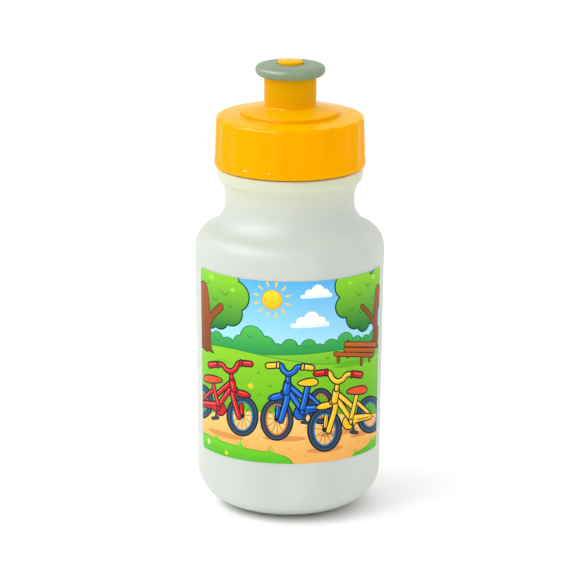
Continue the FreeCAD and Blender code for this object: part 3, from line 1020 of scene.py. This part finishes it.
@dataclass
class Label:
    """The printed film on the bottle's front."""

    sweep: tuple[float, float] = (-68.2, 71.8)
    roll: float = 32.15
    corner: float = 1.2
    film: float = 0.15
    inner_gap: float = 0.04
    foot: Point = (31.32, 7.562)
    shoulder: Point = (32.5, 96.5)
    columns: int = 84
    rows: int = 16

    def radius(self, height: float) -> float:
        """The bottle's radius at a height, in millimetres."""
        share = (height - self.foot[1]) / (self.shoulder[1] - self.foot[1])
        return self.foot[0] + (self.shoulder[0] - self.foot[0]) * share

    def border(self) -> list[Point]:
        """The label's outline with its rounded corners, in label millimetres."""
        left, right = (math.radians(turn) * self.roll for turn in self.sweep)
        top = self.top
        outline = []
        for across, up, first in (
            (right - self.corner, self.corner, -0.5),
            (right - self.corner, top - self.corner, 0.0),
            (left + self.corner, top - self.corner, 0.5),
            (left + self.corner, self.corner, 1.0),
        ):
            for k in range(9):
                angle = math.pi * (first + k / 16)
                outline.append(
                    (across + self.corner * math.cos(angle), up + self.corner * math.sin(angle))
                )
        return outline

    def grid(self) -> list[tuple[Point, Point]]:
        """The lines across and up the label that let it bend."""
        left, right = (math.radians(turn) * self.roll for turn in self.sweep)
        columns = (left + (right - left) * k / self.columns for k in range(1, self.columns))
        rows = (self.top * k / self.rows for k in range(1, self.rows))
        return [
            ((u, 0.0), (u, self.top)) for u in columns
        ] + [((left, v), (right, v)) for v in rows]

    def cut(self, outlines: Sequence[Sequence[Point]]) -> Sheet:
        """Cuts the flat label into triangles along outlines and the grid.

        Args:
            outlines: The label's border, then the shapes on it.

        Returns:
            The triangles inside the border.
        """
        corners: list[Vector] = []
        faces = []
        edges = []
        for outline in outlines:
            faces.append(list(range(len(corners), len(corners) + len(outline))))
            corners.extend(Vector(point) for point in outline)
        for line in self.grid():
            edges.append((len(corners), len(corners) + 1))
            corners.extend(Vector(point) for point in line)
        found = delaunay_2d_cdt(corners, edges, faces, 1, 1e-5, True)
        kept = [(face, max(origin)) for face, origin in zip(found[2], found[5]) if 0 in origin]
        used = sorted({index for face, _ in kept for index in face})
        new = {old: now for now, old in enumerate(used)}
        return Sheet(
            [tuple(found[0][index]) for index in used],
            [[new[index] for index in face] for face, _ in kept],
            [top for _, top in kept],
            {old: new[index] for index in used for old in found[3][index]},
        )

    def wrapped(self, sheet: Sheet, depth: float, side: int) -> tuple[list[Point], list[Vector]]:
        """Bends a flat sheet round the bottle.

        Args:
            sheet: The sheet.
            depth: Its distance from the bottle, in millimetres.
            side: 1 for the printed side, -1 for the glued side.

        Returns:
            Its corners in metres, and their normals.
        """
        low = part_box("label")[0].z / MM
        lean = (self.shoulder[0] - self.foot[0]) / (self.shoulder[1] - self.foot[1])
        spots, normals = [], []
        for across, up in sheet.points:
            turn = across / self.roll - math.pi / 2
            reach = self.radius(low + up) + depth
            out = (math.cos(turn), math.sin(turn))
            spots.append((reach * out[0] * MM, reach * out[1] * MM, (low + up) * MM))
            normals.append(Vector((*out, -lean)).normalized() * side)
        return spots, normals

    def build(self) -> bpy.types.Object:
        """Makes the printed film, wrapped round the bottle, with a plain back.

        Returns:
            The label's object.
        """
        low, high = (corner.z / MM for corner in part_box("label"))
        self.top = high - low
        shapes = ParkPicture(tall=self.top).draw().shapes
        inks = [shapes[0][1]] + [ink for _, ink in shapes]
        front = self.cut([self.border()] + [outline for outline, _ in shapes])
        rim = front.rim()
        back = self.cut([[front.points[index] for index in rim]])
        spots, normals = self.wrapped(front, self.film, 1)
        for more, part in zip((spots, normals), self.wrapped(back, self.inner_gap, -1)):
            more.extend(part)
        shift = len(front.points)
        inner = [[index + shift for index in reversed(face)] for face in back.faces]
        under = [back.became[k] + shift for k in range(len(rim))]
        walls = [[rim[k], rim[k - 1], under[k - 1], under[k]] for k in range(len(rim))]
        outer = front.faces
        mesh = bpy.data.meshes.new("label_print")
        mesh.from_pydata(spots, [], outer + inner + walls)
        paper = linear(250, 250, 248)
        layer = mesh.color_attributes.new("ink", "FLOAT_COLOR", "CORNER")
        for polygon in mesh.polygons:
            for loop in polygon.loop_indices:
                color = paper
                if polygon.index < len(outer):
                    height = front.points[mesh.loops[loop].vertex_index][1]
                    color = inks[front.tops[polygon.index]].at(height)
                layer.data[loop].color = (*color, 1.0)
        mesh.shade_smooth()
        mesh.normals_split_custom_set_from_vertices(normals)
        piece = bpy.data.objects.new("label_print", mesh)
        bpy.context.scene.collection.objects.link(piece)
        dress(piece, PrintedFilm().material())
        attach(piece, "bottle")
        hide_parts("label")
        return piece


@dataclass(frozen=True)
class Corner:
    """One corner of a turned outline, in millimetres."""

    radius: float
    height: float
    round: float = 0.0

    def spot(self) -> Vector:
        """The corner in metres, in the XZ plane."""
        return Vector((self.radius, 0.0, self.height)) * MM


def rounded(corners: Sequence[Corner], closed: bool, steps: int = 6) -> list[Vector]:
    """Replaces each corner that has a round with points on its arc.

    Args:
        corners: The outline's corners, in order.
        closed: Whether the last corner joins the first.
        steps: Pieces in an arc.

    Returns:
        The outline's points in metres.
    """
    count = len(corners)
    points = []
    for index, corner in enumerate(corners):
        spot = corner.spot()
        inside = closed or 0 < index < count - 1
        if not corner.round or not inside:
            points.append(spot)
            continue
        back = (corners[index - 1].spot() - spot).normalized()
        ahead = (corners[(index + 1) % count].spot() - spot).normalized()
        half = back.angle(ahead) / 2
        reach = corner.round * MM / math.tan(half)
        middle = spot + (back + ahead).normalized() * (corner.round * MM / math.sin(half))
        first, last = spot + back * reach - middle, spot + ahead * reach - middle
        sweep = first.angle(last)
        for step in range(steps + 1):
            t = step / steps
            mixed = first * math.sin((1 - t) * sweep) + last * math.sin(t * sweep)
            points.append(middle + mixed / math.sin(sweep))
    return points


def start_piece() -> None:
    """Leaves edit mode and deselects everything."""
    if bpy.context.mode != "OBJECT":
        bpy.ops.object.mode_set(mode="OBJECT")
    bpy.ops.object.select_all(action="DESELECT")


def pick(piece: bpy.types.Object, wanted: Callable[[Vector], bool]) -> None:
    """Selects the vertices of a piece in edit mode that a test on their place accepts."""
    bpy.ops.mesh.select_mode(type="VERT")
    bpy.ops.mesh.select_all(action="DESELECT")
    shape = bmesh.from_edit_mesh(piece.data)
    for vertex in shape.verts:
        vertex.select = wanted(vertex.co)
    shape.select_flush_mode()
    bmesh.update_edit_mesh(piece.data)


def trace(name: str, points: Sequence[Vector], closed: bool) -> bpy.types.Object:
    """Draws a line of vertices by extruding one vertex along an outline, and stays in edit mode.

    Args:
        name: The new piece's name.
        points: The outline in metres.
        closed: Whether to join the end to the start.

    Returns:
        The piece, in edit mode.
    """
    start_piece()
    bpy.ops.mesh.primitive_plane_add(size=MM, location=points[0])
    piece = bpy.context.object
    piece.name = piece.data.name = name
    bpy.ops.object.transform_apply(location=True, rotation=True, scale=True)
    bpy.ops.object.mode_set(mode="EDIT")
    bpy.ops.mesh.merge(type="CENTER")
    path = list(points) + ([points[0]] if closed else [])
    for here, there in zip(path, path[1:]):
        bpy.ops.mesh.extrude_vertices_move(TRANSFORM_OT_translate={"value": there - here})
    bpy.ops.mesh.select_all(action="SELECT")
    bpy.ops.mesh.remove_doubles(threshold=1e-7)
    return piece


def turn(
    name: str, corners: Sequence[Corner], closed: bool = True, steps: int = 120
) -> bpy.types.Object:
    """Turns an outline about the Z axis into a closed piece, and stays in edit mode.

    Args:
        name: The new piece's name.
        corners: The outline. An open one starts and ends on the axis.
        closed: Whether the last corner joins the first.
        steps: Pieces round the turn.

    Returns:
        The piece, in edit mode with everything selected.
    """
    piece = trace(name, rounded(corners, closed), closed)
    bpy.ops.mesh.select_all(action="SELECT")
    bpy.ops.mesh.spin(steps=steps, angle=2 * math.pi, center=(0, 0, 0), axis=(0, 0, 1))
    bpy.ops.mesh.select_all(action="SELECT")
    bpy.ops.mesh.remove_doubles(threshold=2e-6)
    bpy.ops.mesh.normals_make_consistent(inside=False)
    return piece


def close_piece(piece: bpy.types.Object, angle: float = 32.0) -> bpy.types.Object:
    """Leaves edit mode and smooths the shading of all but the sharp edges."""
    start_piece()
    piece.select_set(True)
    bpy.context.view_layer.objects.active = piece
    bpy.ops.object.shade_smooth_by_angle(angle=math.radians(angle))
    piece.select_set(False)
    return piece


@dataclass
class Lid:
    """The screw lid: a softly fluted shell, its inner thread, and the pin on its spokes."""

    bore: float = 23.95
    inner_lip: float = 24.5
    hang: float = 0.25
    band: float = 25.92
    band_tall: float = 1.6
    band_slope: float = 0.35
    skirt_low: float = 25.88
    skirt_high: float = 25.36
    skirt_tall: float = 17.0
    step: float = 17.093
    step_low: float = 17.5
    step_tall: float = 1.5
    dome: float = 1.4
    deck: float = 1.8
    chimney: float = 8.93
    chimney_bore: float = 7.98
    chimney_tall: float = 10.5
    lip: float = 7.63
    seat: float = 15.2
    plug_out: float = 20.0
    plug_in: float = 18.5
    plug_tall: float = 2.6
    flutes: int = 20
    flute_steps: int = 12
    flute_depth: float = 0.4
    pin_shaft: float = 3.0
    pin_head: float = 4.4
    pin_top: float = 36.45
    spoke_size: tuple[float, float, float] = (8.4, 2.2, 1.6)
    thread_turns: float = 1.0
    thread_pitch: float = 5.0
    thread_middle: float = 2.05
    thread_crest: float = 22.8

    def outline(self) -> list[Corner]:
        """The shell's section, from the bottom of the skirt round to the same place."""
        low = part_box("screw_lid")[0].z / MM
        edge = self.skirt_tall
        top = self.step_low + self.step_tall + self.dome
        rim = top + self.chimney_tall
        rows = (
            (self.bore, -self.hang, 0.1), (self.inner_lip, -self.hang, 0.3), (self.band, 0.2, 0.7),
            (self.band, self.band_tall, 0.3),
            (self.skirt_low, self.band_tall + self.band_slope, 0.35), (self.skirt_high, edge, 1.45),
            (self.step, self.step_low, 0.5), (self.step, self.step_low + self.step_tall, 0.85),
            (self.chimney, top, 1.2), (self.chimney, rim, 0.25), (self.lip, rim, 0.2),
            (self.lip, rim - 1.5, 0.0), (self.chimney_bore, rim - 1.85, 0.0),
            (self.chimney_bore, top - self.deck, 0.4),
            (self.step - self.deck, self.step_low + self.step_tall - self.deck, 0.4),
            (self.plug_in, self.step_low - self.deck, 0.3),
            (self.plug_in, self.seat - self.plug_tall, 0.3),
            (self.plug_out, self.seat - self.plug_tall, 0.5), (self.plug_out, self.seat, 0.2),
            (self.bore, self.seat, 0.3),
        )
        return [Corner(radius, low + height, size) for radius, height, size in rows]

    def shell(self) -> bpy.types.Object:
        """Turns the shell, then draws the flutes in, column by column."""
        steps = self.flutes * self.flute_steps
        piece = turn("lid_shell", self.outline(), steps=steps)
        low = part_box("screw_lid")[0].z / MM
        foot = low + self.band_tall + self.band_slope + 0.15
        self.rows(piece, foot, low + self.skirt_tall - 1.6)
        for phase, share in ((0, 1.0), (1, 0.93), (2, 0.72), (3, 0.4), (4, 0.12)):
            for base, head, part in ((foot + 0.3, low + 16.4, 1.0), (low + 16.4, low + 17.0, 0.8)):
                scale = 1.0 - self.flute_depth * share * part / self.skirt_low
                pick(piece, lambda co: self.in_flute(co, phase, base, head))
                bpy.ops.transform.resize(value=(scale, scale, 1.0), center_override=(0, 0, 0))
        bpy.ops.mesh.select_all(action="SELECT")
        bpy.ops.mesh.normals_make_consistent(inside=False)
        return close_piece(piece)

    def rows(self, piece: bpy.types.Object, low: float, high: float) -> None:
        """Cuts rows of edges round the skirt between two heights, to hold the flutes' ends."""
        reach = (self.skirt_high - 0.16) * MM
        for height in (low, low + 0.5, low + 1.1, (low + high) / 2, high - 0.6, high):
            pick(piece, lambda co: math.hypot(co.x, co.y) > reach and co.z > (low - 0.6) * MM)
            bpy.ops.mesh.bisect(plane_co=(0, 0, height * MM), plane_no=(0, 0, 1))

    def in_flute(self, co: Vector, phase: int, low: float, high: float) -> bool:
        """Whether a vertex is on the skirt's outside, this many columns from a flute's middle."""
        if not low * MM < co.z <= high * MM or math.hypot(co.x, co.y) < 24.6 * MM:
            return False
        column = round(math.atan2(co.y, co.x) / (2 * math.pi) * self.flutes * self.flute_steps)
        away = column % self.flute_steps
        return min(away, self.flute_steps - away) == phase

    def pin(self) -> bpy.types.Object:
        """Makes the pin with its three spokes."""
        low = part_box("screw_lid")[0].z / MM
        foot = low + self.step_low + self.step_tall + self.dome - self.deck
        top = low + self.pin_top
        piece = close_piece(
            turn(
                "lid_pin",
                [
                    Corner(0.0, foot), Corner(self.pin_shaft, foot, 0.3),
                    Corner(self.pin_shaft, top - 5.2, 1.0), Corner(self.pin_head, top - 3.6, 0.6),
                    Corner(self.pin_head, top - 0.55, 0.7), Corner(2.5, top - 0.12, 2.0),
                    Corner(0.0, top),
                ],
                closed=False,
                steps=64,
            )
        )
        spokes = []
        long, wide, tall = self.spoke_size
        for k in range(3):
            start_piece()
            middle = (long / 2 * MM, 0, (foot + tall / 2) * MM)
            bpy.ops.mesh.primitive_cube_add(
                size=1.0, location=middle, scale=[d * MM for d in self.spoke_size]
            )
            bpy.ops.object.transform_apply(location=True, rotation=True, scale=True)
            bpy.ops.object.mode_set(mode="EDIT")
            bpy.ops.mesh.select_all(action="SELECT")
            bpy.ops.mesh.bevel(offset=0.35 * MM, segments=3)
            bpy.ops.mesh.select_all(action="SELECT")
            bpy.ops.transform.rotate(
                value=2 * math.pi * k / 3, orient_axis="Z", center_override=(0, 0, 0)
            )
            bpy.ops.object.mode_set(mode="OBJECT")
            spokes.append(bpy.context.object)
        start_piece()
        for part in (*spokes, piece):
            part.select_set(True)
        bpy.context.view_layer.objects.active = piece
        bpy.ops.object.join()
        return close_piece(piece)

    def thread(self) -> bpy.types.Object:
        """Winds the thread inside the skirt, and closes its two ends."""
        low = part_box("screw_lid")[0].z / MM + self.thread_middle
        root, crest = self.bore + 0.3, self.thread_crest
        section = ((root, -1.15), (crest, -0.55), (crest, 0.55), (root, 1.15))
        points = rounded(
            [Corner(r, low + z, 0.25 if r < self.bore else 0.0) for r, z in section], True, 3
        )
        piece = trace("lid_thread", points, True)
        start_piece()
        bpy.context.view_layer.objects.active = piece
        piece.select_set(True)
        wind = piece.modifiers.new("wind", "SCREW")
        wind.axis = "Z"
        wind.angle = 2 * math.pi * self.thread_turns
        wind.screw_offset = self.thread_pitch * self.thread_turns * MM
        wind.steps = wind.render_steps = 120
        bpy.ops.object.modifier_apply(modifier=wind.name)
        bpy.ops.object.mode_set(mode="EDIT")
        bpy.ops.mesh.select_mode(type="VERT")
        bpy.ops.mesh.select_all(action="DESELECT")
        bpy.ops.mesh.select_non_manifold()
        bpy.ops.mesh.edge_face_add()
        bpy.ops.mesh.select_all(action="SELECT")
        bpy.ops.mesh.normals_make_consistent(inside=False)
        return close_piece(piece)

    def build(self) -> list[bpy.types.Object]:
        """Makes and dresses the lid.

        Returns:
            Its pieces.
        """
        finish = YellowMoulding().material()
        pieces = [self.shell(), self.pin(), self.thread()]
        for piece in pieces:
            dress(piece, finish)
            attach(piece, "lid")
            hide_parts("screw_lid")
        return pieces


@dataclass
class Mouthpiece:
    """The push-pull mouthpiece: a round flange on a stem with a snap bead."""

    flange: float = 11.92
    edge: float = 3.75
    crown: float = 0.75
    hole: float = 4.5
    stem: float = 7.48
    stem_bore: float = 6.08
    snap: float = 7.83
    snap_tall: float = 1.6
    roof: float = 2.4

    def build(self) -> bpy.types.Object:
        """Makes and dresses the mouthpiece.

        Returns:
            Its piece.
        """
        low, high = (corner.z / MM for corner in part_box("mouthpiece"))
        rim = high - self.crown
        foot = rim - self.edge
        piece = turn(
            "mouthpiece_valve",
            [
                Corner(self.hole, high - 0.35, 0.45), Corner(self.flange - 2.6, high - 0.6, 4.0),
                Corner(self.flange, rim - 0.45, 1.4), Corner(self.flange, foot, 1.9),
                Corner(self.stem, foot, 0.25), Corner(self.stem, low + self.snap_tall + 0.4),
                Corner(self.snap, low + self.snap_tall, 0.2), Corner(self.snap, low + 0.4, 0.2),
                Corner(self.stem, low, 0.2), Corner(self.stem_bore, low, 0.2),
                Corner(
                    self.stem_bore, high - self.roof - 1.4, 0.5
                ), Corner(self.hole, high - self.roof, 0.2),
            ],
        )
        close_piece(piece)
        dress(piece, GreySoftPlastic().material())
        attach(piece, "mouthpiece")
        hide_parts("mouthpiece")
        return piece


@dataclass
class Studio:
    """The plain pale floor, the soft lights and the camera."""

    distance: float = 1.444
    tilt: float = 14.77
    aim: float = 0.0755
    lens: float = 260.7
    roll: float = 0.25
    aside: float = 0.0002
    floor_size: float = 12.0
    dim_side: Color = (0.72, -0.68, 0.12)
    dim_fall: tuple[float, float, float, float] = (0.1, 0.95, 1.17, 0.86)

    def build(self) -> None:
        """Makes the floor, the lights, the sky and the camera."""
        bpy.ops.object.select_all(action="DESELECT")
        bpy.ops.mesh.primitive_plane_add(size=self.floor_size, location=(0, 0, -0.00005))
        floor = bpy.context.object
        floor.name = "studio_floor"
        bpy.ops.object.transform_apply(location=True, rotation=True, scale=True)
        dress(floor, FloorPaint().material())
        world = bpy.data.worlds.new("studio_sky")
        bpy.context.scene.world = world
        world.use_nodes = True
        self.sky(world.node_tree)
        bpy.context.scene.view_settings.view_transform = "Standard"
        self.lamp("key_light", -54, 44, 1.1, (0.6, 0.5), 1.75)
        glint = self.lamp("glint_light", -65, 46, 1.12, (1.25, 0.34), 180.0)
        glint.visible_diffuse = glint.visible_transmission = glint.visible_volume_scatter = False
        self.camera()

    def sky(self, tree: bpy.types.NodeTree) -> None:
        """Lights the sky evenly, but for one side that is left dim, as beside a dark screen."""
        back = tree.nodes["Background"]
        back.inputs["Color"].default_value = (1.0, 1.0, 1.0, 1.0)
        coordinates = tree.nodes.new("ShaderNodeTexCoord")
        facing = tree.nodes.new("ShaderNodeVectorMath")
        facing.operation = "DOT_PRODUCT"
        facing.inputs[1].default_value = self.dim_side
        fall = tree.nodes.new("ShaderNodeMapRange")
        fall.interpolation_type = "SMOOTHSTEP"
        for name, value in zip(("From Min", "From Max", "To Min", "To Max"), self.dim_fall):
            fall.inputs[name].default_value = value
        tree.links.new(coordinates.outputs["Generated"], facing.inputs[0])
        tree.links.new(facing.outputs["Value"], fall.inputs["Value"])
        tree.links.new(fall.outputs["Result"], back.inputs["Strength"])

    def lamp(
        self, name: str, azimuth: float, elevation: float, away: float, size: Point, power: float
    ) -> bpy.types.Object:
        """Adds one soft rectangular light that looks at the object.

        Args:
            name: The light's name.
            azimuth: Degrees round from the front, to the right.
            elevation: Degrees above the floor.
            away: Distance in metres.
            size: Width and height in metres.
            power: Watts.

        Returns:
            The light.
        """
        turn, rise = math.radians(azimuth), math.radians(elevation)
        target = Vector((0, 0, self.aim))
        spot = target + away * Vector(
            (math.sin(turn) * math.cos(rise), -math.cos(turn) * math.cos(rise), math.sin(rise))
        )
        data = bpy.data.lights.new(name, "AREA")
        data.shape = "RECTANGLE"
        data.size, data.size_y = size
        data.energy = power
        lamp = bpy.data.objects.new(name, data)
        lamp.location = spot
        lamp.rotation_euler = (target - spot).to_track_quat("-Z", "Y").to_euler()
        bpy.context.scene.collection.objects.link(lamp)
        return lamp

    def camera(self) -> None:
        """Adds the camera, a little above the bottle and looking down at it."""
        rise = math.radians(self.tilt)
        data = bpy.data.cameras.new("camera")
        data.sensor_width = 36.0
        data.lens = self.lens
        data.clip_end = 100.0
        camera = bpy.data.objects.new("camera", data)
        camera.location = (
            self.aside,
            -self.distance * math.cos(rise),
            self.aim + self.distance * math.sin(rise),
        )
        level = Euler((math.pi / 2 - rise, 0.0, 0.0)).to_matrix()
        camera.rotation_euler = (
            level @ Matrix.Rotation(math.radians(self.roll), 3, "Z")
        ).to_euler()
        bpy.context.scene.collection.objects.link(camera)
        bpy.context.scene.camera = camera


def main() -> None:
    """Builds every piece in order and reports it."""
    logging.basicConfig(level=logging.INFO, format="%(name)s: %(message)s")
    Studio().build()
    LOG.info("studio ready")
    for name, finish in (("bottle", MilkyPlastic()), ("sealing_ring", SealFoam())):
        dress(frame["nodes"][name], finish.material())
        LOG.info("%s dressed", name)
    for piece in (*Lid().build(), Mouthpiece().build()):
        LOG.info("%s: %d faces", piece.name, len(piece.data.polygons))
    label = Label().build()
    LOG.info("label: %d faces", len(label.data.polygons))


if __name__ == "__main__":
    main()
